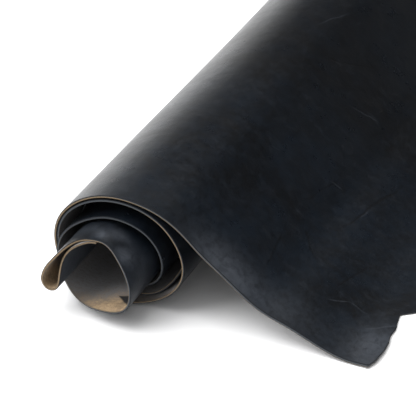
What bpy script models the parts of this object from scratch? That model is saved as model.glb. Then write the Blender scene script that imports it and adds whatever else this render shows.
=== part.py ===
"""A side of smooth leather, rolled up loosely with its grain side out and its outer end let down.

The sheet is one closed solid of even thickness. A section line across the roll starts at the free end
in the core, folds back in a lip, winds outwards through the turns and comes off the top as a flap that
sweeps down to the floor. Each place on the hide is found by its distance along that line and its place
between the near edge, where the turns show, and the far edge. Metres, +Z up, +Y along the roll and away
from the near edge.
"""

import math

import bpy
import numpy as np

MM = 0.001
NAME = "leather_side"

THICKNESS = 2.5 * MM
ROLL_AXIS_HEIGHT = 56.0 * MM
FAR_END_GROWTH = 0.05      # the roll is this much looser at its far end, as a share of its size

CELLS_ALONG = 186          # from the free end to the loose end
BEND_CROWDING = 15.0 * MM  # cells crowd where the bend's radius comes near this
MOST_CROWDING = 2.4
SECTION_SAMPLES = 6000     # steps of the section line before it is cut into cells
BEND_WINDOW = 41           # of those steps, over which a bend is averaged
LAST_STEPS = 1500          # of those steps, from the outer turn's side to the loose end

# The free end and the lip that folds back outside the core.
# Columns in millimetres: across the roll from its axis, height, near edge's place along the roll.
LIP = (
    (-7.5, 81.6, -28.0),
    (-14.5, 81.3, -29.0),
    (-22.5, 78.6, -33.0),
    (-29.8, 73.6, -37.0),
    (-35.0, 66.0, -41.0),
    (-37.8, 56.8, -45.0),
    (-38.6, 47.5, -49.0),
    (-39.6, 38.5, -51.0),
    (-44.0, 32.0, -52.0),
    (-51.2, 31.2, -52.5),
    (-56.6, 38.3, -52.5),
    (-55.4, 48.2, -52.0),
    (-50.9, 57.8, -51.0),
    (-44.6, 66.6, -48.0),
    (-38.2, 74.4, -41.0),
    (-30.0, 80.8, -33.0),
    (-20.6, 84.6, -29.0),
    (-11.0, 86.6, -28.0),
)

# The turns. A row for each eighth of a turn clockwise from the top, seen from the near end.
# Columns in millimetres: radius from the roll's axis for the core, second, third and outer turn.
TURN_RADII = (
    (30.9, 40.5, 51.0, 61.0),
    (29.6, 45.0, 56.0, 68.4),
    (36.0, 46.5, 60.5, 71.5),
    (42.0, 46.5, 57.5, 61.5),
    (40.0, 45.2, 50.0, 54.75),
    (59.0, 62.8, 66.5, 70.3),
    (61.9, 65.3, 68.7, 72.2),
    (44.2, 53.2, 61.8, 65.6),
)

# The near edge's place along the roll, in millimetres, in the same rows and columns.
TURN_EDGES = (
    (-28.0, 0.0, 45.0, 0.0),
    (-36.0, 0.0, 45.0, 0.0),
    (-44.0, 4.0, 35.0, 0.0),
    (-45.0, 9.0, 10.0, 0.0),
    (-44.0, 12.0, 5.0, -8.0),
    (-26.0, 25.0, 0.0, -4.0),
    (-10.0, 40.0, 0.0, 0.0),
    (0.0, 45.0, 0.0, 0.0),
)

# The flap, from the top of the roll to the floor. Columns as for the lip.
FLAP = (
    (0.0, 122.0, 0.0),
    (21.4, 121.9, 0.0),
    (46.5, 116.3, 0.0),
    (70.0, 102.0, 1.0),
    (89.8, 85.0, 1.0),
    (110.8, 69.4, 1.0),
    (133.0, 50.8, 2.0),
    (155.2, 35.4, 3.0),
    (181.0, 25.4, 4.0),
    (201.0, 16.5, 5.0),
    (224.0, 7.0, 6.0),
    (246.0, 1.6, 7.0),
    (263.0, 1.25, 8.0),
    (320.0, 1.25, 8.0),
    (380.0, 1.25, 8.0),
)

# The hide's far edge. Columns: share of the way from the free end to the loose end, place along the
# roll in millimetres.
FAR_EDGE = (
    (0.00, 742.0),
    (0.09, 764.0),
    (0.19, 781.0),
    (0.31, 758.0),
    (0.45, 736.0),
    (0.60, 744.0),
    (0.72, 772.0),
    (0.83, 790.0),
    (0.92, 771.0),
    (1.00, 722.0),
)

# The loose end on the floor. Columns in millimetres: place along the roll, how far it reaches from the
# roll's axis. It starts at the tip, has a notch near it and swells out beyond.
LOOSE_END = (
    (8.0, 263.0),
    (19.0, 267.0),
    (36.0, 269.0),
    (50.0, 268.5),
    (62.0, 266.0),
    (75.0, 267.0),
    (86.0, 264.5),
    (97.0, 263.0),
    (109.0, 278.0),
    (150.0, 309.0),
    (230.0, 341.0),
    (340.0, 352.0),
    (450.0, 343.0),
    (560.0, 322.0),
    (660.0, 293.0),
    (722.0, 252.0),
)

# Where the rows of cells lie between the near edge and the far edge, closer together by the notch.
ROWS_ACROSS = (0.0, 0.022, 0.055, 0.09, 0.124, 0.143, 0.19, 0.26, 0.35, 0.46, 0.58, 0.70, 0.81, 0.91, 1.0)


def smooth_through(knots, values, places):
    """Natural cubic spline through the values at the knots, read at the places."""
    gaps = np.diff(knots)
    slopes = np.diff(values, axis=0) / gaps[:, None]
    count = len(knots)
    system = np.eye(count)
    target = np.zeros((count, values.shape[1]))
    inner = np.arange(1, count - 1)
    system[inner, inner - 1] = gaps[:-1]
    system[inner, inner] = 2 * (gaps[:-1] + gaps[1:])
    system[inner, inner + 1] = gaps[1:]
    target[inner] = 6 * (slopes[1:] - slopes[:-1])
    bends = np.linalg.solve(system, target)
    cell = np.clip(np.searchsorted(knots, places, side="right") - 1, 0, count - 2)
    width = gaps[cell][:, None]
    after = (places - knots[cell])[:, None]
    before = width - after
    return (
        (bends[cell] * before**3 + bends[cell + 1] * after**3) / (6 * width)
        + (values[cell] / width - bends[cell] * width / 6) * before
        + (values[cell + 1] / width - bends[cell + 1] * width / 6) * after
    )


def turn_rows():
    """Across, height and edge, in millimetres, of each eighth of a turn from the core outwards."""
    radii = np.array(TURN_RADII).T.ravel()
    edges = np.array(TURN_EDGES).T.ravel()
    angles = np.arange(len(radii)) * math.tau / len(TURN_RADII)
    heights = ROLL_AXIS_HEIGHT / MM + radii * np.cos(angles)
    return np.stack([radii * np.sin(angles), heights, edges], axis=1)


def section_line():
    """Distance along the section line and, at each distance, across, height and near edge."""
    rows = np.concatenate([np.array(LIP), turn_rows(), np.array(FLAP)]) * MM
    knots = np.append(0.0, np.cumsum(np.hypot(*np.diff(rows[:, :2], axis=0).T)))
    line = smooth_through(knots, rows, np.linspace(0.0, knots[-1], SECTION_SAMPLES))
    line[:, 1] = np.maximum(line[:, 1], THICKNESS / 2)
    distance = np.append(0.0, np.cumsum(np.hypot(*np.diff(line[:, :2], axis=0).T)))
    return distance, line


def crowded_stations(distance, line, end):
    """Distances of the cells' sides, from the free end to the end, closer together in tight bends."""
    slope = np.unwrap(np.arctan2(np.gradient(line[:, 1]), np.gradient(line[:, 0])))
    bend = np.abs(np.gradient(slope, distance))
    smooth = np.convolve(bend, np.full(BEND_WINDOW, 1 / BEND_WINDOW), mode="same")
    weight = 1.0 + np.minimum(smooth * BEND_CROWDING, MOST_CROWDING)
    share = np.append(0.0, np.cumsum(weight[1:] * np.diff(distance)))
    used = np.interp(end, distance, share)
    return np.interp(np.linspace(0.0, used, CELLS_ALONG + 1), share, distance)


def hide_points():
    """Middle of the sheet on a grid: a row for each station along it, a column for each row across."""
    distance, line = section_line()
    across = np.array(ROWS_ACROSS)
    end_places, end_reaches = np.array(LOOSE_END).T * MM
    flap_start, tip = np.interp((0.0, end_reaches[0]), line[-LAST_STEPS:, 0], distance[-LAST_STEPS:])
    stations = crowded_stations(distance, line, tip)[:, None]

    end_place = end_places[0] + (end_places[-1] - end_places[0]) * across
    extra = np.interp(end_place, end_places, end_reaches) - end_reaches[0]
    along_flap = np.clip((stations - flap_start) / (tip - flap_start), 0.0, 1.0)
    places = stations + along_flap * extra

    reach = np.interp(places, distance, line[:, 0])
    height = np.interp(places, distance, line[:, 1])
    near = np.interp(stations, distance, line[:, 2])
    far_knots, far_places = np.array(FAR_EDGE).T
    far = smooth_through(far_knots, far_places[:, None] * MM, stations[:, 0] / tip)

    growth = FAR_END_GROWTH * across
    reach = reach * (1.0 + growth * (1.0 - along_flap))
    height = THICKNESS / 2 + (height - THICKNESS / 2) * (1.0 + growth)
    return np.stack([reach, near + (far - near) * across, height], axis=-1)


def finish(name, colour, roughness):
    """Material with one colour and roughness."""
    material = bpy.data.materials.new(name)
    material.use_nodes = True
    shader = material.node_tree.nodes["Principled BSDF"]
    shader.inputs["Base Color"].default_value = (*colour, 1.0)
    shader.inputs["Roughness"].default_value = roughness
    shader.inputs["Metallic"].default_value = 0.0
    return material


def hide_object(collection):
    """The rolled hide: an open surface on the grid, with its thickness laid half to each side."""
    points = hide_points()
    rows, columns = points.shape[:2]
    index = np.arange(rows * columns).reshape(rows, columns)
    corners = (index[:-1, :-1], index[:-1, 1:], index[1:, 1:], index[1:, :-1])
    mesh = bpy.data.meshes.new(NAME)
    mesh.from_pydata(
        points.reshape(-1, 3).tolist(), [], np.stack(corners, axis=-1).reshape(-1, 4).tolist()
    )
    for material in (
        finish("grain", (0.018, 0.021, 0.028), 0.42),
        finish("flesh", (0.30, 0.21, 0.13), 0.9),
        finish("cut_edge", (0.23, 0.16, 0.10), 0.75),
    ):
        mesh.materials.append(material)
    mesh.shade_smooth()
    hide = bpy.data.objects.new(NAME, mesh)
    collection.objects.link(hide)

    wall = hide.modifiers.new("thickness", "SOLIDIFY")
    wall.thickness = THICKNESS
    wall.offset = 0.0
    wall.use_even_offset = True
    wall.material_offset = 1
    wall.material_offset_rim = 2
    return hide


def stand_on_origin(hide):
    """Move the hide so that the origin lies under the middle of its box, on the floor."""
    bpy.context.view_layer.update()
    solid = hide.evaluated_get(bpy.context.evaluated_depsgraph_get()).to_mesh()
    corners = np.empty(len(solid.vertices) * 3, np.float32)
    solid.vertices.foreach_get("co", corners)
    low, high = corners.reshape(-1, 3).min(axis=0), corners.reshape(-1, 3).max(axis=0)
    hide.location = (-(low[0] + high[0]) / 2, -(low[1] + high[1]) / 2, -low[2])


def main():
    for old in list(bpy.data.objects):
        bpy.data.objects.remove(old)
    collection = bpy.data.collections.new(NAME)
    bpy.context.scene.collection.children.link(collection)
    stand_on_origin(hide_object(collection))


main()
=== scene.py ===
"""The looks of a rolled side of smooth black leather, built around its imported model.

The sheet is one closed surface worked out with numpy: nearly the section line that the model's solid
follows, cut finer, with soft swells, mostly over the flap, and a rounded, dyed cut edge. Metres, +Z up,
+Y along the roll and away from the near edge.
"""

import logging
import math
from dataclasses import dataclass, field
from enum import IntEnum

import bpy
import numpy as np
from mathutils import Matrix, Vector


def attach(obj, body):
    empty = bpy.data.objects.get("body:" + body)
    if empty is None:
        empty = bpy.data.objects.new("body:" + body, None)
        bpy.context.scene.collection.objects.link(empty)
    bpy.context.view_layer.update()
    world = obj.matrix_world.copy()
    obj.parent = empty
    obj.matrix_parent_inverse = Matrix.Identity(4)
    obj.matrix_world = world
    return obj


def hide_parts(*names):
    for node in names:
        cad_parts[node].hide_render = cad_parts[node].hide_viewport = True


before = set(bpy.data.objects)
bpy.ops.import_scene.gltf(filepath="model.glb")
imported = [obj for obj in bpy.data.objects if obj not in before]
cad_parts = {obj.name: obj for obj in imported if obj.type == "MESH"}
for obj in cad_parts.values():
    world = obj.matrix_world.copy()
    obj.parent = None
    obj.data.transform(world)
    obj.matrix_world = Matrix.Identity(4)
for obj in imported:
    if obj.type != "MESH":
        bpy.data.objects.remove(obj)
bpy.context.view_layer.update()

LOG = logging.getLogger("rolled_side")
MM = 0.001
TINY = 1e-12
NODE = "leather_side"
BODY = "root"

# Names of what each point of the sheet carries: its place on the hide, and three shares from 0 to 1.
PLACE = "hide_place"
EDGE_TAN = "edge_tan"
# Share of pale scuffs on the grain; on the flap it also paints a pale sheen, a painted highlight.
SCUFF_AND_SHEEN = "grain_scuff_and_sheen"
# Share of tan flesh: painted light where light falls in at the mouths, and painted shade, a neutral grey,
# deeper in.
FLESH_LIT = "flesh_lit"

Triple = tuple[float, float, float]
Rows = tuple[tuple[float, ...], ...]
EVEN: Triple = (1.0, 1.0, 1.0)


class Face(IntEnum):
    """Material slots of the sheet."""

    GRAIN = 0
    FLESH = 1
    CUT = 2


# Numerical helpers.


def smooth_through(knots: np.ndarray, values: np.ndarray, places: np.ndarray) -> np.ndarray:
    """Read a natural cubic spline: the bends at the knots solve the tridiagonal system that makes the
    slopes meet, and each cell blends its two ends' values and bends.

    Args:
        knots: rising places of the values.
        values: a row of values for each knot.
        places: where the spline is read.

    Returns:
        A row of values for each place.
    """
    gaps = np.diff(knots)
    slopes = np.diff(values, axis=0) / gaps[:, None]
    count = len(knots)
    system = np.eye(count)
    target = np.zeros((count, values.shape[1]))
    inner = np.arange(1, count - 1)
    system[inner, inner - 1] = gaps[:-1]
    system[inner, inner] = 2 * (gaps[:-1] + gaps[1:])
    system[inner, inner + 1] = gaps[1:]
    target[inner] = 6 * (slopes[1:] - slopes[:-1])
    bends = np.linalg.solve(system, target)
    cell = np.clip(np.searchsorted(knots, places, side="right") - 1, 0, count - 2)
    width = gaps[cell][:, None]
    after = (places - knots[cell])[:, None]
    before = width - after
    return (
        (bends[cell] * before**3 + bends[cell + 1] * after**3) / (6 * width)
        + (values[cell] / width - bends[cell] * width / 6) * before
        + (values[cell + 1] / width - bends[cell + 1] * width / 6) * after
    )


def spread(places: np.ndarray, density: np.ndarray, end: float, count: int) -> np.ndarray:
    """Lay places out by density: they are even steps of the running total of the density.

    Args:
        places: rising places at which the density is known.
        density: how crowded it is at each.
        end: the last place wanted.
        count: number of places wanted.

    Returns:
        The places, from the first one known to the end.
    """
    total = np.append(0.0, np.cumsum(density[1:] * np.diff(places)))
    return np.interp(np.linspace(0.0, np.interp(end, places, total), count), total, places)


def unit(vectors: np.ndarray) -> np.ndarray:
    """Scale each vector to length one."""
    return vectors / np.maximum(np.linalg.norm(vectors, axis=-1, keepdims=True), TINY)


def bells(hide: np.ndarray, rows: Rows) -> np.ndarray:
    """Add up soft patches on the hide. Each is a bell: its height, times exp of minus half the squared
    distance from its middle, in its own lengths along and across.

    Args:
        hide: distance along the hide and place across it, last in the array.
        rows: middle along, middle across, length along, length across, all in millimetres, and height.

    Returns:
        The total height at each point.
    """
    total = np.zeros(hide.shape[:-1])
    for along, across, long, wide, height in rows:
        steps = ((hide[..., 0] / MM - along) / long) ** 2 + ((hide[..., 1] / MM - across) / wide) ** 2
        total += height * np.exp(-0.5 * steps)
    return total


# The sheet.


@dataclass(frozen=True)
class Section:
    """The line across the roll that the sheet follows, from the free end in the core to the loose end.

    Rows of lip and flap hold, in millimetres, the way across from the roll's axis, the height and the
    near edge's place along the roll. The turns have a row for each eighth of a turn clockwise from the
    top, and a column for each turn from the core outwards. Samples are the steps of the traced line: the
    flap lies within the last of them, and a bend is averaged over a window of them.
    """

    axis_height: float = 56.0
    samples: int = 6000
    last_steps: int = 1500
    bend_window: int = 41
    bend_crowding: float = 15.0 * MM
    most_crowding: float = 2.4
    lip: Rows = (
        (-7.5, 83.9, -28.0),
        (-14.9, 82.9, -29.0),
        (-23.2, 80.0, -33.0),
        (-30.9, 74.8, -37.0),
        (-36.3, 67.0, -41.0),
        (-38.5, 57.2, -45.0),
        (-38.6, 47.5, -49.0),
        (-39.6, 38.5, -51.0),
        (-44.0, 32.0, -52.0),
        (-51.2, 31.2, -52.5),
        (-56.6, 38.3, -52.5),
        (-55.4, 48.2, -52.0),
        (-50.9, 57.8, -51.0),
        (-44.6, 66.6, -48.0),
        (-38.2, 74.4, -41.0),
        (-30.0, 80.8, -33.0),
        (-20.6, 84.6, -29.0),
        (-11.0, 86.6, -28.0),
    )
    turn_radii: Rows = (
        (30.9, 40.5, 51.0, 61.0),
        (29.6, 45.0, 56.0, 68.4),
        (36.0, 46.5, 60.5, 71.5),
        (42.0, 46.5, 57.5, 61.5),
        (40.0, 45.2, 50.0, 54.75),
        (59.0, 62.8, 66.5, 70.3),
        (61.9, 65.3, 68.7, 72.2),
        (44.2, 53.2, 61.8, 65.6),
    )
    turn_edges: Rows = (
        (-28.0, 0.0, 45.0, 0.0),
        (-36.0, 0.0, 45.0, 0.0),
        (-44.0, 4.0, 35.0, 0.0),
        (-45.0, 9.0, 10.0, 0.0),
        (-44.0, 12.0, 5.0, -8.0),
        (-26.0, 25.0, 0.0, -4.0),
        (-10.0, 40.0, 0.0, 0.0),
        (0.0, 45.0, 0.0, 0.0),
    )
    flap: Rows = (
        (0.0, 122.0, 0.0),
        (21.4, 121.9, 0.0),
        (46.5, 116.3, 0.0),
        (70.0, 102.0, 1.0),
        (89.8, 85.0, 1.0),
        (110.8, 69.4, 1.0),
        (133.0, 50.8, 2.0),
        (155.2, 35.4, 3.0),
        (181.0, 25.4, 4.0),
        (201.0, 16.5, 5.0),
        (224.0, 7.0, 6.0),
        (246.0, 1.6, 7.0),
        (263.0, 1.25, 8.0),
        (320.0, 1.25, 8.0),
        (380.0, 1.25, 8.0),
    )

    def rows(self) -> np.ndarray:
        """Join lip, turns and flap. A turn's point is its radius times the sine and cosine of its angle
        from the top.

        Returns:
            Across, height and near edge of each row, in metres.
        """
        radii = np.array(self.turn_radii).T.ravel()
        edges = np.array(self.turn_edges).T.ravel()
        angles = np.arange(len(radii)) * math.tau / len(self.turn_radii)
        turns = np.stack(
            [radii * np.sin(angles), self.axis_height + radii * np.cos(angles), edges], axis=1
        )
        return np.concatenate([np.array(self.lip), turns, np.array(self.flap)]) * MM

    def trace(self, floor: float) -> tuple[np.ndarray, np.ndarray]:
        """Carry a smooth line through the rows and measure along it.

        Args:
            floor: lowest height of the sheet's middle.

        Returns:
            Distance along the line, and across, height and near edge at each distance.
        """
        rows = self.rows()
        knots = np.append(0.0, np.cumsum(np.hypot(*np.diff(rows[:, :2], axis=0).T)))
        line = smooth_through(knots, rows, np.linspace(0.0, knots[-1], self.samples))
        line[:, 1] = np.maximum(line[:, 1], floor)
        distance = np.append(0.0, np.cumsum(np.hypot(*np.diff(line[:, :2], axis=0).T)))
        return distance, line

    def crowding(self, distance: np.ndarray, line: np.ndarray) -> np.ndarray:
        """Density of cells along the line: one, plus the bend of the line up to a limit."""
        slope = np.unwrap(np.arctan2(np.gradient(line[:, 1]), np.gradient(line[:, 0])))
        bend = np.abs(np.gradient(slope, distance))
        window = np.full(self.bend_window, 1 / self.bend_window)
        smooth = np.convolve(bend, window, mode="same")
        return 1.0 + np.minimum(smooth * self.bend_crowding, self.most_crowding)


@dataclass(frozen=True)
class Outline:
    """The hide's cut outline. Far edge: share of the way along, place along the roll in millimetres.
    Loose end: place along the roll, how far it reaches from the roll's axis, in millimetres. The notch
    row is where its torn part ends."""

    far_edge: Rows = (
        (0.00, 742.0),
        (0.09, 764.0),
        (0.19, 781.0),
        (0.31, 758.0),
        (0.45, 736.0),
        (0.60, 744.0),
        (0.72, 772.0),
        (0.83, 790.0),
        (0.92, 771.0),
        (1.00, 722.0),
    )
    loose_end: Rows = (
        (8.0, 263.0),
        (19.0, 267.0),
        (36.0, 269.0),
        (50.0, 268.5),
        (62.0, 266.0),
        (75.0, 267.0),
        (86.0, 264.5),
        (97.0, 263.0),
        (109.0, 278.0),
        (150.0, 309.0),
        (230.0, 341.0),
        (340.0, 352.0),
        (450.0, 343.0),
        (560.0, 322.0),
        (660.0, 293.0),
        (722.0, 252.0),
    )
    notch_row: int = 8

    def far(self, shares: np.ndarray) -> np.ndarray:
        """Place of the far edge, in metres, at each share of the way along."""
        knots, places = np.array(self.far_edge).T
        return smooth_through(knots, places[:, None] * MM, shares)[:, 0]

    def end_places(self) -> tuple[float, float]:
        """Places of the loose end's two corners, in metres."""
        return self.loose_end[0][0] * MM, self.loose_end[-1][0] * MM

    def reach(self, place: np.ndarray) -> np.ndarray:
        """How far the loose end reaches at each place, in metres: straight from row to row as far as the
        notch, as it is torn there, and a smooth curve through the rows beyond."""
        places, reaches = np.array(self.loose_end).T * MM
        torn = np.interp(place, places, reaches)
        curve = slice(self.notch_row, None)
        smooth = smooth_through(
            places[curve], reaches[curve, None], np.maximum(place, places[self.notch_row])
        )
        return np.where(place < places[self.notch_row], torn, smooth[:, 0])


@dataclass(frozen=True)
class CutProfile:
    """The cut edge seen across the sheet: corners rounded off, and the flesh side left a little proud.

    Corner is how far the edge lies back at a face, and corner share how much of the way from the middle
    to that face the rounding takes up. Slant rows hold the distance along the hide and how far the near
    edge's grain side lies back from its flesh side, in millimetres.
    """

    depths: tuple[float, ...] = (0.0, 0.07, 0.18, 0.34, 0.52, 0.70, 0.85, 0.95, 1.0)
    corner: float = 0.45 * MM
    corner_share: float = 0.3
    slant: Rows = ((0.0, 0.2), (1560.0, 0.2), (1640.0, 0.5), (1720.0, 1.0), (1880.0, 1.2), (2100.0, 0.3))

    def inset(self, depth: np.ndarray) -> np.ndarray:
        """How far the edge lies back at each depth: zero over the middle, and a quarter circle towards
        both faces.

        Args:
            depth: 0 at the grain, 1 at the flesh.

        Returns:
            Inset in metres.
        """
        past = np.clip((np.abs(2 * depth - 1) - 1 + self.corner_share) / self.corner_share, 0, 1)
        return self.corner * (1 - np.sqrt(1 - past**2))

    def lean(self, distance: np.ndarray) -> np.ndarray:
        """How far the grain side lies back from the flesh side, in metres, along the hide."""
        places, slants = np.array(self.slant).T * MM
        return np.interp(distance, places, slants)


@dataclass(frozen=True)
class Grid:
    """Where the sheet is cut into cells: how many rows of points lie along and across it, and how closely
    they crowd at places across it, counted from the near edge as if the hide were as wide as the reach.
    Support is about the distance from the border to the row next to it."""

    along: int = 404
    across: int = 100
    support: float = 0.5 * MM
    reach: float = 0.75
    samples: int = 2000
    crowd_places: tuple[float, ...] = (0.0, 0.01, 0.06, 0.125, 0.2, 0.35, 0.8)
    crowd_density: tuple[float, ...] = (4.5, 2.8, 2.4, 2.6, 1.4, 0.9, 0.75)

    def shares(self) -> np.ndarray:
        """Shares of the way across, crowded near the near edge, with a row close to each edge."""
        places = np.linspace(0.0, self.reach, self.samples)
        density = np.interp(places, self.crowd_places, self.crowd_density)
        inner = spread(places, density, self.reach, self.across) / self.reach
        rim = self.support / self.reach
        return np.concatenate([[0.0, rim], inner[1:-1], [1.0 - rim, 1.0]])


@dataclass(frozen=True)
class Wear:
    """What has happened to the hide's surfaces, and where a sheen and light and shade are painted on them.
    Rows of patches are bells, as the function reads them.

    Edge tans hold the distance along the hide, in millimetres, and the share of the cut edge's depth
    that is undyed there.
    """

    # Pale scuffs on the core and the lip, and from 1710 mm on a painted highlight: a pale sheen along the
    # flap's near edge and at its tip.
    scuffs_and_sheens: Rows = (
        (1710.0, 6.0, 30.0, 17.0, 1.00),
        (1775.0, 18.0, 40.0, 20.0, 0.28),
        (1874.0, 38.0, 17.0, 24.0, 0.80),
        (40.0, -15.0, 40.0, 70.0, 1.00),
        (150.0, -10.0, 17.0, 8.0, 0.35),
        (167.0, -18.0, 6.0, 4.5, 0.75),
        (181.0, -9.0, 8.0, 4.0, 0.60),
        (196.0, -27.0, 6.0, 6.0, 1.00),
        (206.0, -14.0, 12.0, 9.0, 0.30),
        (226.0, -30.0, 16.0, 16.0, 0.40),
    )
    # Share of tan flesh by place: high where light falls in at the core's mouth, the lip and the turns' near
    # edges; lower deeper in, where a grey stands in for shade. Painted light and shade.
    raw: Rows = (
        (74.0, -44.0, 24.0, 24.0, 0.80),
        (250.0, -48.0, 22.0, 26.0, 0.65),
        (288.0, -48.0, 34.0, 20.0, 0.60),
        (1010.0, 4.0, 70.0, 10.0, 0.20),
        (1320.0, 0.0, 60.0, 9.0, 0.25),
    )
    edge_tans: Rows = (
        (0.0, 0.70),
        (90.0, 0.80),
        (150.0, 0.72),
        (172.0, 0.34),
        (205.0, 0.24),
        (260.0, 0.24),
        (300.0, 0.30),
        (420.0, 0.08),
        (530.0, 0.12),
        (640.0, 0.20),
        (740.0, 0.05),
        (860.0, 0.34),
        (1000.0, 0.38),
        (1090.0, 0.05),
        (1180.0, 0.10),
        (1215.0, 0.50),
        (1290.0, 0.55),
        (1340.0, 0.45),
        (1430.0, 0.70),
        (1560.0, 0.62),
        (1610.0, 0.34),
        (1740.0, 0.22),
        (1800.0, 0.20),
        (2100.0, 0.30),
    )

    def tans(self, distance: np.ndarray) -> np.ndarray:
        """Undyed share of the cut edge at each distance along the hide."""
        distances, shares = np.array(self.edge_tans).T
        return np.interp(distance, distances * MM, shares)

    def shares(self, hide: np.ndarray) -> dict[str, np.ndarray]:
        """Shares from 0 to 1 that the finishes read at each place on the hide, by attribute name."""
        return {
            EDGE_TAN: self.tans(hide[:, 0]),
            SCUFF_AND_SHEEN: np.clip(bells(hide, self.scuffs_and_sheens), 0.0, 1.0),
            FLESH_LIT: np.clip(bells(hide, self.raw), 0.0, 1.0),
        }


@dataclass
class RolledSide:
    """The whole hide: one sheet, rolled grain side out, with its outer end let down as a flap.

    Far growth is how much looser the roll is at its far edge, as a share of its size. Axis place is where
    the roll's axis lies across the frame, and where the rows' places along the roll start. Swells are
    bells, in millimetres of height. They lift the flap, and their tails reach the outer turn behind it,
    which they press up to 0.17 mm into the third turn where nobody sees it.
    """

    section: Section = field(default_factory=Section)
    outline: Outline = field(default_factory=Outline)
    cut: CutProfile = field(default_factory=CutProfile)
    grid: Grid = field(default_factory=Grid)
    wear: Wear = field(default_factory=Wear)
    thickness: float = 2.5 * MM
    far_growth: float = 0.05
    axis_place: tuple[float, float] = (-0.137251, -0.368713)
    floor_gap: float = 0.002 * MM
    flat_size: tuple[float, float] = (0.84, 1.97)
    flat_area: float = 1.49
    swells: Rows = (
        (1712.0, 0.0, 50.0, 20.0, -2.2),
        (1878.0, 26.0, 20.0, 26.0, 2.6),
        (1700.0, 240.0, 70.0, 90.0, 2.0),
        (1790.0, 120.0, 60.0, 60.0, -1.2),
        (1640.0, 480.0, 80.0, 120.0, -2.0),
        (1755.0, 430.0, 45.0, 110.0, 2.4),
        (1600.0, 640.0, 60.0, 90.0, 2.2),
        (1700.0, 700.0, 60.0, 80.0, -2.6),
        (1815.0, 590.0, 45.0, 90.0, 2.2),
        (1560.0, 330.0, 50.0, 110.0, -1.2),
    )

    def middle(self) -> tuple[np.ndarray, np.ndarray]:
        """Work out the middle of the sheet: a point's place on the section line is its distance along,
        stretched on the flap by how far the loose end swells out there, and its place along the roll
        runs from the near edge to the far edge.

        Returns:
            Points, a row for each station and a column for each share across; and their distance along
            the hide and place across it.
        """
        distance, line = self.section.trace(self.thickness / 2)
        last = slice(-self.section.last_steps, None)
        across = self.grid.shares()
        tip_place, far_place = self.outline.end_places()
        ends = self.outline.reach(tip_place + (far_place - tip_place) * across)
        start, tip = np.interp((0.0, ends[0]), line[last, 0], distance[last])
        inner = spread(distance, self.section.crowding(distance, line), tip, self.grid.along)
        stations = np.insert(inner, [1, -1], [self.grid.support, tip - self.grid.support])[:, None]

        extra = ends - ends[0]
        flap = np.clip((stations - start) / (tip - start), 0.0, 1.0)
        read = stations + flap * extra

        near = np.interp(stations, distance, line[:, 2])
        far = self.outline.far(stations[:, 0] / tip)[:, None]
        growth = self.far_growth * across
        reach = np.interp(read, distance, line[:, 0]) * (1.0 + growth * (1.0 - flap))
        rise = (np.interp(read, distance, line[:, 1]) - self.thickness / 2) * (1.0 + growth)
        along = near + (far - near) * across
        points = np.stack([reach, along, self.thickness / 2 + rise], axis=-1)
        return points, np.stack([read, along], axis=-1)

    def lifted(self, points: np.ndarray, hide: np.ndarray) -> np.ndarray:
        """Lift the sheet by its swells, straight out from its grain side, but never into the floor."""
        lifted = points + self.outward(points) * (bells(hide, self.swells) * MM)[..., None]
        lifted[..., 2] = np.maximum(lifted[..., 2], self.thickness / 2)
        return lifted

    @staticmethod
    def outward(points: np.ndarray) -> np.ndarray:
        """Direction out of the grain side: across the hide crossed with along it."""
        along = np.gradient(points, axis=0)
        across = np.gradient(points, axis=1)
        return unit(np.cross(unit(along), unit(across)))

    @staticmethod
    def loop(rows: int, columns: int) -> np.ndarray:
        """Indexes of the grid's border points in order: near edge, loose end, far edge, free end."""
        index = np.arange(rows * columns).reshape(rows, columns)
        return np.concatenate([index[:-1, 0], index[-1, :-1], index[:0:-1, -1], index[0, :0:-1]])

    @staticmethod
    def away(points: np.ndarray) -> np.ndarray:
        """Direction in the sheet away from its middle, for each border point and the one next to it, so
        that the two are set back together; zero elsewhere."""
        away = np.zeros_like(points)
        away[:2] += unit(points[:1] - points[1:2])
        away[-2:] += unit(points[-1:] - points[-2:-1])
        away[:, :2] += unit(points[:, :1] - points[:, 1:2])
        away[:, -2:] += unit(points[:, -1:] - points[:, -2:-1])
        return away

    def layers(self, points: np.ndarray, hide: np.ndarray) -> list[np.ndarray]:
        """Lay the sheet out at each depth of the cut: half the thickness out from its middle, less the
        depth's share of it, with the border set back by the cut's profile and lean at that depth.

        Args:
            points: middle of the sheet.
            hide: distance along the hide and place across it.

        Returns:
            The points at each depth, the grain first and the flesh last.
        """
        out, away = self.outward(points), self.away(points)
        lean = np.zeros(points.shape[:2])
        lean[:, :2] = self.cut.lean(hide[:, :2, 0])
        return [
            points
            + out * ((0.5 - depth) * self.thickness)
            - away * (self.cut.inset(depth) + lean * (1 - depth))[..., None]
            for depth in np.array(self.cut.depths)
        ]

    def mesh(self) -> bpy.types.Mesh:
        """Close the sheet: the outer layers are the grain and flesh skins, and the borders of the layers
        between them are rings that join the two.

        Returns:
            The mesh, with its material slots numbered and its hide places and wear as attributes.
        """
        points, hide = self.middle()
        points = self.lifted(points, hide)
        layers, depths = self.layers(points, hide), self.cut.depths
        rows, columns = points.shape[:2]
        grain, flesh = layers[0].reshape(-1, 3), layers[-1].reshape(-1, 3)
        ring = self.loop(rows, columns)
        sides = [layer.reshape(-1, 3)[ring] for layer in layers[1:-1]]
        skin = rows * columns
        shift = np.array([*self.axis_place, self.floor_gap])
        corners = np.concatenate([grain, flesh, *sides]) + shift

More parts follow.
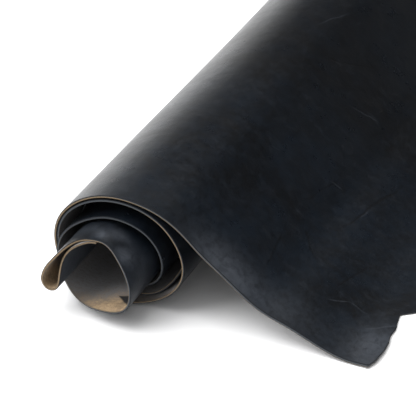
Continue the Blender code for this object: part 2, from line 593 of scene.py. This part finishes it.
        index = np.arange(skin).reshape(rows, columns)
        quads = [index[:-1, :-1], index[1:, :-1], index[1:, 1:], index[:-1, 1:]]
        top = np.stack(quads, axis=-1).reshape(-1, 4)
        under = top[:, ::-1] + skin
        ids = 2 * skin + np.arange(len(ring) * len(sides)).reshape(len(sides), len(ring))
        rings = np.concatenate([ring[None], ids, ring[None] + skin])
        ahead = np.roll(rings, -1, axis=1)
        band = np.stack([rings[:-1], rings[1:], ahead[1:], ahead[:-1]], axis=-1).reshape(-1, 4)

        flat = hide.reshape(-1, 2)
        spots = [flat, flat] + [flat[ring]] * len(sides)
        counts = [skin, skin] + [len(ring)] * len(sides)
        depth = np.repeat([0.0, 1.0, *depths[1:-1]], counts)
        places = np.column_stack([np.concatenate(spots), depth])
        border = np.isin(np.arange(len(corners)), np.concatenate([ring, ring + skin]))
        return self.filled(corners, (top, under, band), places, border)

    def filled(
        self,
        corners: np.ndarray,
        parts: tuple[np.ndarray, ...],
        places: np.ndarray,
        border: np.ndarray,
    ) -> bpy.types.Mesh:
        """Fill a mesh from its points and quads.

        Args:
            corners: the points.
            parts: quads of the grain skin, the flesh skin and the cut edge.
            places: distance along the hide, place across it and depth, for each point.
            border: for each point, whether it lies where a skin meets the cut edge; edges there are crisp.

        Returns:
            The mesh.
        """
        mesh = bpy.data.meshes.new(NODE)
        mesh.from_pydata(corners.tolist(), [], np.concatenate(parts).tolist())
        slots = np.repeat([Face.GRAIN, Face.FLESH, Face.CUT], [len(part) for part in parts])
        mesh.polygons.foreach_set("material_index", slots.astype(np.int32))
        mesh.shade_smooth()
        ends = np.empty(2 * len(mesh.edges), np.int32)
        mesh.edges.foreach_get("vertices", ends)
        sharp = mesh.attributes.new("sharp_edge", "BOOLEAN", "EDGE")
        sharp.data.foreach_set("value", border[ends.reshape(-1, 2)].all(axis=1))
        spot = mesh.attributes.new(PLACE, "FLOAT_VECTOR", "POINT")
        spot.data.foreach_set("vector", places.astype(np.float32).ravel())
        for name, shares in self.wear.shares(places[:, :2]).items():
            share = mesh.attributes.new(name, "FLOAT", "POINT")
            share.data.foreach_set("value", shares.astype(np.float32))
        mesh.validate()
        return mesh

    def build(self) -> bpy.types.Object:
        """Make the hide's object, attach it to the body that it rides on, and hide the imported part of the
        same name.

        Returns:
            The object.
        """
        hide = bpy.data.objects.new("rolled_side", self.mesh())
        bpy.context.scene.collection.objects.link(hide)
        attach(hide, BODY)
        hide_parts(NODE)
        return hide

    def dress(self, hide: bpy.types.Object) -> None:
        """Give the hide its three finishes, in the order of the faces."""
        for finish in (GrainFinish(), FleshFinish(), CutFinish()):
            hide.data.materials.append(finish.material())


# Finishes.


class Value:
    """A number or vector in a node tree; arithmetic on it adds Math nodes."""

    def __init__(self, tree: "Nodes", socket: bpy.types.NodeSocket) -> None:
        """Keep the tree and the socket that gives the value."""
        self.tree = tree
        self.socket = socket

    def maths(self, operation: str, *inputs: "Value | float") -> "Value":
        """Add one Math node on the inputs."""
        return self.tree.node("ShaderNodeMath", {"operation": operation}, dict(enumerate(inputs)))

    def __add__(self, other: "Value | float") -> "Value":
        """Sum."""
        return self.maths("ADD", self, other)

    def __sub__(self, other: "Value | float") -> "Value":
        """Difference."""
        return self.maths("SUBTRACT", self, other)

    def __rsub__(self, other: float) -> "Value":
        """Difference from a number."""
        return self.maths("SUBTRACT", other, self)

    def __mul__(self, other: "Value | float") -> "Value":
        """Product."""
        return self.maths("MULTIPLY", self, other)

    __radd__ = __add__
    __rmul__ = __mul__

    def __abs__(self) -> "Value":
        """Absolute value."""
        return self.maths("ABSOLUTE", self)

    def ramp(self, low: float, high: float) -> "Value":
        """Smooth step from 0 at low to 1 at high; falls instead where low is the larger."""
        settings = {"interpolation_type": "SMOOTHSTEP"}
        inputs = {"Value": self, "From Min": low, "From Max": high}
        return self.tree.node("ShaderNodeMapRange", settings, inputs)

    def part(self, axis: str) -> "Value":
        """One part of a vector."""
        return self.tree.node("ShaderNodeSeparateXYZ", {}, {0: self}, axis)


class Nodes:
    """A node tree that is filled one node at a time."""

    def __init__(self, tree: bpy.types.NodeTree) -> None:
        """Keep the tree's nodes and links."""
        self.nodes = tree.nodes
        self.links = tree.links

    def feed(self, socket: bpy.types.NodeSocket, value: object) -> None:
        """Link a value to a socket, or set a number, colour or vector on it."""
        if isinstance(value, Value):
            self.links.new(value.socket, socket)
        elif isinstance(value, tuple) and socket.type == "RGBA":
            socket.default_value = (*value, 1.0)
        else:
            socket.default_value = value

    def node(
        self, kind: str, settings: dict[str, object], inputs: dict[object, object], output: object = 0
    ) -> Value:
        """Add a node.

        Args:
            kind: the node's type.
            settings: its own settings, set first.
            inputs: values or links of its sockets, by name or number.
            output: name or number of the socket read.

        Returns:
            The output's value.
        """
        made = self.nodes.new(kind)
        for name, value in settings.items():
            setattr(made, name, value)
        for name, value in inputs.items():
            self.feed(made.inputs[name], value)
        return Value(self, made.outputs[output])


@dataclass(frozen=True)
class Mark:
    """A mark on the hide, such as a crease, a scratch or a stain: its two ends as distance along and
    place across the hide, its width, all in millimetres, and how plainly it shows."""

    start: tuple[float, float]
    end: tuple[float, float]
    width: float
    share: float

    def length(self) -> float:
        """Distance between its ends, in metres."""
        return math.dist(self.start, self.end) * MM

    def turn(self) -> float:
        """Angle of its run from the way along the hide, in radians."""
        return math.atan2(self.end[1] - self.start[1], self.end[0] - self.start[0])


@dataclass(frozen=True)
class Pattern:
    """A soft noise over the hide: waves in a metre, levels of finer noise, how strong these are, and how
    far it is warped. Unless the stretch is even, the place is first scaled by it and then turned, in
    degrees."""

    scale: float
    detail: float = 3.0
    rough: float = 0.5
    warp: float = 0.0
    stretch: Triple = EVEN
    turn: float = 0.0


class Shader(Nodes):
    """A material's node tree."""

    def __init__(self, name: str) -> None:
        """Start a material that holds one Principled shader."""
        self.material = bpy.data.materials.new(name)
        self.material.use_nodes = True
        super().__init__(self.material.node_tree)

    def mix(self, share: Value | float, first: object, second: object) -> Value:
        """Mix two colours."""
        inputs = {0: share, 6: first, 7: second}
        return self.node("ShaderNodeMix", {"data_type": "RGBA"}, inputs, 2)

    def place(self) -> Value:
        """Distance along the hide, place across it and depth, as a vector."""
        return self.node("ShaderNodeAttribute", {"attribute_name": PLACE}, {}, "Vector")

    def share(self, name: str) -> Value:
        """A share that the sheet carries."""
        return self.node("ShaderNodeAttribute", {"attribute_name": name}, {}, "Fac")

    def noise(self, place: Value, pattern: Pattern) -> Value:
        """Soft noise of about 0 to 1 over the place."""
        if pattern.stretch != EVEN:
            place = self.stretched(place, pattern.stretch, pattern.turn)
        inputs = {
            "Vector": place,
            "Scale": pattern.scale,
            "Detail": pattern.detail,
            "Roughness": pattern.rough,
            "Distortion": pattern.warp,
        }
        return self.node("ShaderNodeTexNoise", {}, inputs)

    def cells(self, place: Value, scale: float) -> Value:
        """Distance to the border between cells scattered over the place."""
        settings = {"feature": "DISTANCE_TO_EDGE"}
        return self.node("ShaderNodeTexVoronoi", settings, {"Vector": place, "Scale": scale})

    def stretched(self, place: Value, scale: Triple, turn: float) -> Value:
        """The place scaled, and then turned about the depth's direction by an angle in degrees."""
        inputs = {"Vector": place, "Scale": scale, "Rotation": (0.0, 0.0, math.radians(turn))}
        return self.node("ShaderNodeMapping", {}, inputs)

    def wandering(self, place: Value, width: float, scale: float = 40.0) -> Value:
        """The place shifted to and fro over this width by a slow noise, so that straight runs wander."""
        sway = self.node("ShaderNodeTexNoise", {}, {"Vector": place, "Scale": scale, "Detail": 2.0}, "Color")
        swing = self.node("ShaderNodeVectorMath", {"operation": "SUBTRACT"}, {0: sway, 1: (0.5, 0.5, 0.5)})
        inputs = {0: swing, 1: (width, width, 0.0), 2: place}
        return self.node("ShaderNodeVectorMath", {"operation": "MULTIPLY_ADD"}, inputs)

    def inside(self, place: Value, mark: Mark) -> tuple[Value, Value]:
        """The place read in a mark's own frame: 0 to 1 along its run, and how many widths off it."""
        inputs = {
            "Vector": place,
            "Location": (mark.start[0] * MM, mark.start[1] * MM, 0.0),
            "Rotation": (0.0, 0.0, mark.turn()),
            "Scale": (mark.length(), mark.width * MM, 1.0),
        }
        inside = self.node("ShaderNodeMapping", {"vector_type": "TEXTURE"}, inputs)
        return inside.part("X"), abs(inside.part("Y"))

    def strokes(self, place: Value, marks: tuple[Mark, ...]) -> Value:
        """Thin marks on the hide, added up: each is its share along its middle, and falls off to nothing
        at its width and at its two ends.

        Args:
            place: distance along the hide and place across it.
            marks: the marks.

        Returns:
            The total share.
        """
        total = 0.0
        for mark in marks:
            run, off = self.inside(place, mark)
            total = off.ramp(1.0, 0.1) * run.ramp(0.0, 0.3) * run.ramp(1.0, 0.7) * mark.share + total
        return total

    def wedge(self, place: Value, mark: Mark) -> Value:
        """A three-cornered patch: its point is at the mark's start, and its width is reached at the end."""
        run, off = self.inside(place, mark)
        return (run - off).ramp(-0.04, 0.06) * run.ramp(1.05, 0.92) * mark.share

    def bump(self, height: Value, depth: float, below: Value | None = None) -> Value:
        """Surface normal of a relief of this depth, in metres, laid over another one."""
        inputs: dict[object, object] = {"Height": height, "Distance": depth, "Strength": 1.0}
        if below is not None:
            inputs["Normal"] = below
        return self.node("ShaderNodeBump", {}, inputs)

    def finish(self, **sockets: object) -> bpy.types.Material:
        """Feed the Principled shader's sockets, named with spaces as underscores."""
        for name, value in sockets.items():
            self.feed(self.nodes["Principled BSDF"].inputs[name.replace("_", " ")], value)
        return self.material


@dataclass(frozen=True)
class GrainFinish:
    """Smooth black grain: a blue cast in clouds, pale scuffs, which on the flap are a painted highlight,
    faint creases and scratches, folds darkened by painted shade, and a fine pebbled relief. Pebbles is how
    many of them lie in a metre, and wander how far a crease strays."""

    dark: Triple = (0.0013, 0.0014, 0.0018)
    blue: Triple = (0.0050, 0.0082, 0.0132)
    bloom: Triple = (0.0098, 0.0124, 0.0170)
    # Pale colour of scuffs and scratches, and of the painted sheen on the flap.
    pale_scuff_and_sheen: Triple = (0.048, 0.054, 0.065)
    roughness: float = 0.27
    specular: float = 0.38
    drift: Pattern = Pattern(7.0, 3.0, 0.55, 0.5)
    cloud: Pattern = Pattern(26.0, 4.0, 0.62, 0.5)
    blotch: Pattern = Pattern(85.0, 4.0, 0.65, 0.4)
    mottle: Pattern = Pattern(120.0, 5.0, 0.70, 0.6)
    drag: Pattern = Pattern(1.0, 3.0, 0.6, 0.6, (30.0, 110.0, 1.0), 62.0)
    soft: Pattern = Pattern(70.0, 4.0, 0.5)
    fine: Pattern = Pattern(2600.0, 2.0)
    pebbles: float = 1150.0
    wander: float = 8.0 * MM
    soft_relief: float = 0.35 * MM
    crease_relief: float = 0.12 * MM
    pebble_relief: float = 0.022 * MM
    marks: tuple[Mark, ...] = (
        Mark((1738.0, 214.0), (1756.0, 219.0), 1.1, 0.30),
        Mark((1667.0, 186.0), (1679.0, 192.0), 1.0, 0.25),
        Mark((1808.0, 66.0), (1830.0, 83.0), 1.3, 0.28),
        Mark((1827.0, 82.0), (1850.0, 81.0), 1.2, 0.22),
        Mark((1852.0, 55.0), (1884.0, 79.0), 1.6, 0.30),
        Mark((1787.0, 196.0), (1792.0, 215.0), 1.4, 0.20),
        Mark((1700.0, 330.0), (1745.0, 352.0), 1.2, 0.22),
        Mark((1615.0, 404.0), (1640.0, 470.0), 1.4, 0.16),
        Mark((1810.0, 300.0), (1862.0, 288.0), 1.2, 0.24),
        Mark((1560.0, 250.0), (1588.0, 262.0), 1.0, 0.22),
        Mark((1850.0, 520.0), (1880.0, 566.0), 1.5, 0.22),
        Mark((1490.0, 560.0), (1512.0, 610.0), 1.3, 0.24),
        Mark((1380.0, 330.0), (1396.0, 400.0), 1.2, 0.22),
    )
    # Folds: painted shade darkens the grain along each, and a dent is bumped in.
    shaded_folds: tuple[Mark, ...] = (
        Mark((1775.0, 150.0), (1809.0, 296.0), 2.4, 0.60),
        Mark((1805.0, 78.0), (1828.0, 152.0), 2.2, 0.50),
        Mark((1742.0, 44.0), (1732.0, 108.0), 2.4, 0.50),
        Mark((1744.0, 139.0), (1779.0, 103.0), 2.2, 0.45),
        Mark((1726.0, 150.0), (1750.0, 240.0), 2.0, 0.40),
        Mark((1640.0, 352.0), (1702.0, 420.0), 2.4, 0.50),
        Mark((1842.0, 380.0), (1790.0, 470.0), 2.2, 0.50),
        Mark((1470.0, 420.0), (1540.0, 455.0), 2.2, 0.45),
    )

    def material(self) -> bpy.types.Material:
        """Build the material."""
        kit = Shader("grain")
        place = kit.place()
        drift = kit.noise(place, self.drift).ramp(0.38, 0.64)
        cloud = kit.noise(place, self.cloud).ramp(0.38, 0.66)
        blotch = kit.noise(place, self.blotch)
        mottle = kit.noise(place, self.mottle).ramp(0.34, 0.62)
        drag = kit.noise(place, self.drag)
        wander = kit.wandering(place, self.wander)
        crease = kit.strokes(wander, self.marks)
        shaded_fold = kit.strokes(wander, self.shaded_folds)
        blued = place.part("Y").ramp(0.50, 0.04) * 0.55 + 0.45

        tone = kit.mix((drift * 0.35 + cloud * 0.35 + mottle * 0.30) * blued, self.dark, self.blue)
        tone = kit.mix(blotch.ramp(0.44, 0.70) * drag.ramp(0.35, 0.65) * blued * 0.60, tone, self.bloom)
        # Painted shade along the folds.
        tone = kit.mix(shaded_fold, tone, self.dark)
        # Pale scuffs, and on the flap a painted highlight, a pale sheen.
        rubbed_and_sheen = kit.share(SCUFF_AND_SHEEN) * (0.45 + cloud * 0.15 + mottle * 0.40)
        tone = kit.mix(rubbed_and_sheen, tone, self.pale_scuff_and_sheen)
        tone = kit.mix(crease, tone, self.pale_scuff_and_sheen)
        rough = self.roughness + blotch * 0.10 - cloud * 0.04 + rubbed_and_sheen * 0.12

        pebble = kit.cells(place, self.pebbles).ramp(0.0, 0.22) * 0.6 + kit.noise(place, self.fine) * 0.4
        normal = kit.bump(kit.noise(place, self.soft), self.soft_relief)
        normal = kit.bump(1 - crease - shaded_fold, self.crease_relief, normal)
        normal = kit.bump(pebble, self.pebble_relief, normal)
        return kit.finish(
            Base_Color=tone,
            Roughness=rough,
            Specular_IOR_Level=self.specular,
            Normal=normal,
        )


@dataclass(frozen=True)
class FleshFinish:
    """Suede flesh side: a short fibrous nap, tan where light falls in near the mouths of the roll, and dull
    grey brown deeper in, where the colour is painted shade. The dark patch is a near-black three-cornered
    patch in the core, with borders that wander."""

    tan: Triple = (0.36, 0.260, 0.158)
    brown: Triple = (0.115, 0.086, 0.060)
    # Neutral grey for deeper in the roll: painted shade.
    dyed: Triple = (0.190, 0.190, 0.196)
    # A near-black three-cornered patch in the core, and its colour.
    dark_patch_colour: Triple = (0.010, 0.012, 0.015)
    dark_patch: Mark = Mark((276.0, -18.0), (214.0, -37.0), 26.0, 0.96)
    dark_patch_wander: float = 3.0 * MM
    dark_patch_waves: float = 150.0
    roughness: float = 0.95
    specular: float = 0.15
    cloud: Pattern = Pattern(60.0, 4.0, 0.62, 0.4)
    clump: Pattern = Pattern(210.0, 3.0, 0.65, 0.5, (1.0, 1.8, 1.0), 20.0)
    nap: Pattern = Pattern(520.0, 4.0, 0.7, 0.5, (1.0, 2.4, 1.0), 20.0)
    fibre: Pattern = Pattern(1000.0, 3.0, 0.7, 1.0, (1.0, 3.0, 1.0), -25.0)
    speck: Pattern = Pattern(620.0, 2.0, 0.5)
    nap_relief: float = 0.5 * MM

    def material(self) -> bpy.types.Material:
        """Build the material."""
        kit = Shader("flesh")
        place = kit.place()
        cloud = kit.noise(place, self.cloud)
        clump = kit.noise(place, self.clump)
        nap = kit.noise(place, self.nap)
        fibre = kit.noise(place, self.fibre)
        # Painted shade: the grey brown that fills the flesh deeper in.
        shaded_flesh = kit.mix(clump.ramp(0.4, 0.7) * 0.3, self.dyed, self.brown)
        light = cloud.ramp(0.30, 0.66) * 0.45 + clump.ramp(0.32, 0.66) * 0.35 + nap.ramp(0.3, 0.7) * 0.20
        bare = kit.mix(light, self.brown, self.tan)
        # Painted light: tan where the lit share is high, near the mouths.
        raw = (kit.share(FLESH_LIT) + (cloud - 0.5) * 0.35 + (clump - 0.5) * 0.25).ramp(0.04, 0.70)
        speck = kit.noise(place, self.speck).ramp(0.60, 0.70) * 0.55
        tone = kit.mix(speck, kit.mix(raw, shaded_flesh, bare), self.brown)
        # Near-black three-cornered patch in the core.
        dark_patch = kit.wedge(kit.wandering(place, self.dark_patch_wander, self.dark_patch_waves), self.dark_patch)
        normal = kit.bump(clump * 0.5 + nap * 0.3 + fibre * 0.2, self.nap_relief)
        return kit.finish(
            Base_Color=kit.mix(dark_patch, tone, self.dark_patch_colour),
            Roughness=self.roughness,
            Specular_IOR_Level=self.specular,
            Normal=normal,
        )


@dataclass(frozen=True)
class CutFinish:
    """Cut edge: the black grain's line, then dyed grey, then the undyed tan core, layered by depth."""

    line: Triple = (0.007, 0.008, 0.010)
    dyed: Triple = (0.050, 0.057, 0.065)
    brown: Triple = (0.12, 0.090, 0.060)
    tan: Triple = (0.26, 0.185, 0.108)
    fringe: Triple = (0.045, 0.038, 0.030)
    roughness: float = 0.8
    specular: float = 0.2
    fray: Pattern = Pattern(160.0, 3.0, 0.6)
    fibre: Pattern = Pattern(1300.0, 3.0, 0.7, 0.0, (1.0, 1.0, 0.006))
    stain: Pattern = Pattern(230.0, 2.0, 0.5)
    fibre_relief: float = 0.15 * MM

    def material(self) -> bpy.types.Material:
        """Build the material."""
        kit = Shader("cut_edge")
        place = kit.place()
        depth = place.part("Z")
        fray = kit.noise(place, self.fray)
        fibre = kit.noise(place, self.fibre)
        bare = (depth + (fray - 0.5) * 0.40 + kit.share(EDGE_TAN) - 1.0).ramp(-0.08, 0.12)
        stained = kit.noise(place, self.stain).ramp(0.60, 0.68)
        raw = kit.mix(stained * 0.75, kit.mix(fibre.ramp(0.25, 0.75), self.brown, self.tan), self.fringe)
        tone = kit.mix(bare, self.dyed, raw)
        tone = kit.mix((depth + (fibre - 0.5) * 0.10).ramp(0.36, 0.20), tone, self.line)
        tone = kit.mix((depth + (fray - 0.5) * 0.30).ramp(0.78, 0.94) * 0.8, tone, self.fringe)
        normal = kit.bump(fibre, self.fibre_relief)
        return kit.finish(
            Base_Color=tone,
            Roughness=self.roughness,
            Specular_IOR_Level=self.specular,
            Normal=normal,
        )


# The studio.


@dataclass(frozen=True)
class Lamp:
    """A far soft light. Bearing is degrees to the right of the way the near edges face, rise degrees up
    from the floor, spread the width of its disc in degrees."""

    name: str
    strength: float
    bearing: float
    rise: float
    spread: float

    def build(self) -> None:
        """Hang the light, pointing from its bearing and rise towards the floor."""
        turn, lift = math.radians(self.bearing), math.radians(self.rise)
        towards = Vector((math.sin(turn) * math.cos(lift), -math.cos(turn) * math.cos(lift), math.sin(lift)))
        sun = bpy.data.lights.new(self.name, "SUN")
        sun.energy = self.strength
        sun.angle = math.radians(self.spread)
        lamp = bpy.data.objects.new(self.name, sun)
        lamp.rotation_euler = towards.to_track_quat("Z", "Y").to_euler()
        bpy.context.scene.collection.objects.link(lamp)


@dataclass(frozen=True)
class Room:
    """What surrounds the hide: a pale sweep that is brightest at the horizon and stands up behind on the
    left, pale panels overhead and in front, and a dim room."""

    dim: float = 0.055
    horizon: float = 1.15
    side: float = 0.15
    sweep: float = 0.50
    ceiling: float = 1.0
    front: float = 0.55

    def build(self) -> None:
        """Paint the room: each panel is its strength times smooth steps of the direction's parts."""
        world = bpy.data.worlds.new("room")
        world.use_nodes = True
        bpy.context.scene.world = world
        kit = Nodes(world.node_tree)
        towards = kit.node("ShaderNodeTexCoord", {}, {}, "Generated")
        right, back, rise = (towards.part(axis) for axis in "XYZ")
        behind = self.side + right.ramp(0.30, -0.10) * (1.0 - self.side)
        horizon = rise.ramp(0.30, 0.03) * behind * self.horizon
        sweep = right.ramp(-0.30, -0.52) * rise.ramp(0.62, 0.38) * back.ramp(0.0, 0.4) * self.sweep
        ceiling = rise.ramp(0.64, 0.95) * self.ceiling
        front = back.ramp(-0.10, -0.60) * self.front
        strength = horizon + sweep + ceiling + front + self.dim
        background = world.node_tree.nodes["Background"]
        kit.feed(background.inputs["Color"], (1.0, 1.0, 1.0))
        kit.feed(background.inputs["Strength"], strength)


@dataclass(frozen=True)
class Studio:
    """Plain pale floor, soft lights and the room."""

    floor_radius: float = 60.0
    floor_sides: int = 64
    floor_colour: Triple = (0.86, 0.86, 0.865)
    lamps: tuple[Lamp, ...] = (
        Lamp("overhead", 2.6, -90.0, 70.0, 56.0),
        Lamp("front_left", 2.0, -60.0, 42.0, 44.0),
    )
    room: Room = field(default_factory=Room)

    def floor(self) -> bpy.types.Object:
        """Lay the floor: a flat disc whose border is its radius times the cosine and sine of its angles.

        Returns:
            The floor.
        """
        turns = np.linspace(0.0, math.tau, self.floor_sides, endpoint=False)
        ring = np.stack([np.cos(turns), np.sin(turns), np.zeros_like(turns)], axis=-1) * self.floor_radius
        mesh = bpy.data.meshes.new("studio_floor")
        mesh.from_pydata(ring.tolist(), [], [list(range(self.floor_sides))])
        finish = Shader("floor").finish(Base_Color=self.floor_colour, Roughness=0.9, Specular_IOR_Level=0.1)
        mesh.materials.append(finish)
        floor = bpy.data.objects.new("studio_floor", mesh)
        bpy.context.scene.collection.objects.link(floor)
        return floor

    def build(self) -> None:
        """Set up the floor, the lamps, the room and plain display of colours."""
        self.floor()
        for lamp in self.lamps:
            lamp.build()
        self.room.build()
        bpy.context.scene.view_settings.view_transform = "Standard"


@dataclass(frozen=True)
class Viewpoint:
    """The photograph's camera: where it stands, which way it faces, how far it looks down, its lens."""

    place: Triple = (0.46414, -1.39240, 0.93942)
    heading: float = 26.156
    dip: float = 35.0
    lens: float = 129.81

    def build(self) -> bpy.types.Object:
        """Stand the camera: its right is level along the heading, and it looks a quarter turn left of
        that and down by the dip.

        Returns:
            The camera.
        """
        turn, fall = math.radians(self.heading), math.radians(self.dip)
        right = Vector((math.cos(turn), math.sin(turn), 0.0))
        ahead = Vector((-math.sin(turn) * math.cos(fall), math.cos(turn) * math.cos(fall), -math.sin(fall)))
        data = bpy.data.cameras.new("photo_camera")
        data.lens = self.lens
        camera = bpy.data.objects.new("photo_camera", data)
        facing = Matrix((right, right.cross(ahead), -ahead)).transposed()
        camera.matrix_world = Matrix.Translation(self.place) @ facing.to_4x4()
        bpy.context.scene.collection.objects.link(camera)
        bpy.context.scene.camera = camera
        return camera


def corners(box: tuple[Vector, Vector]) -> list[list[float]]:
    """A box's two corners as plain lists."""
    return [list(corner) for corner in box]


def main() -> None:
    """Build the studio, the camera and the hide."""
    logging.basicConfig(level=logging.INFO, format="%(name)s: %(message)s")
    Studio().build()
    Viewpoint().build()
    side = RolledSide()
    hide = side.build()
    side.dress(hide)
    LOG.info("%s: %d points, %d faces", hide.name, len(hide.data.vertices), len(hide.data.polygons))


if __name__ == "__main__":
    main()
